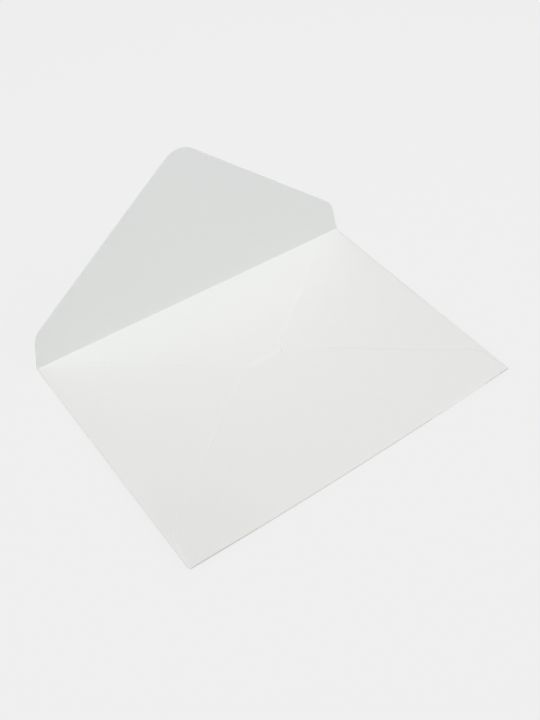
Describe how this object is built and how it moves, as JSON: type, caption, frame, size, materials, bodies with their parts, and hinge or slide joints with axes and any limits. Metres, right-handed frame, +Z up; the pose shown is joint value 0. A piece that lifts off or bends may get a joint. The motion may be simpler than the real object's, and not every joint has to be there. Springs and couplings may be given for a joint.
{
  "type": "paper envelope",
  "caption": "Empty paper envelope lying back up, with its pointed closing flap standing open over the V-shaped mouth of the pocket.",
  "frame": {"origin": "centre of the front panel's outer face, which lies on the table", "axes": "+X along the top fold, +Y from the bottom fold to the closing flap, +Z up out of the envelope's back"},
  "size_m": [0.162, 0.1281, 0.0693],
  "materials": {
    "paper_sheet": "matte"
  },
  "bodies": {
    "root": {"envelope": "paper_sheet"}
  },
  "joints": []
}
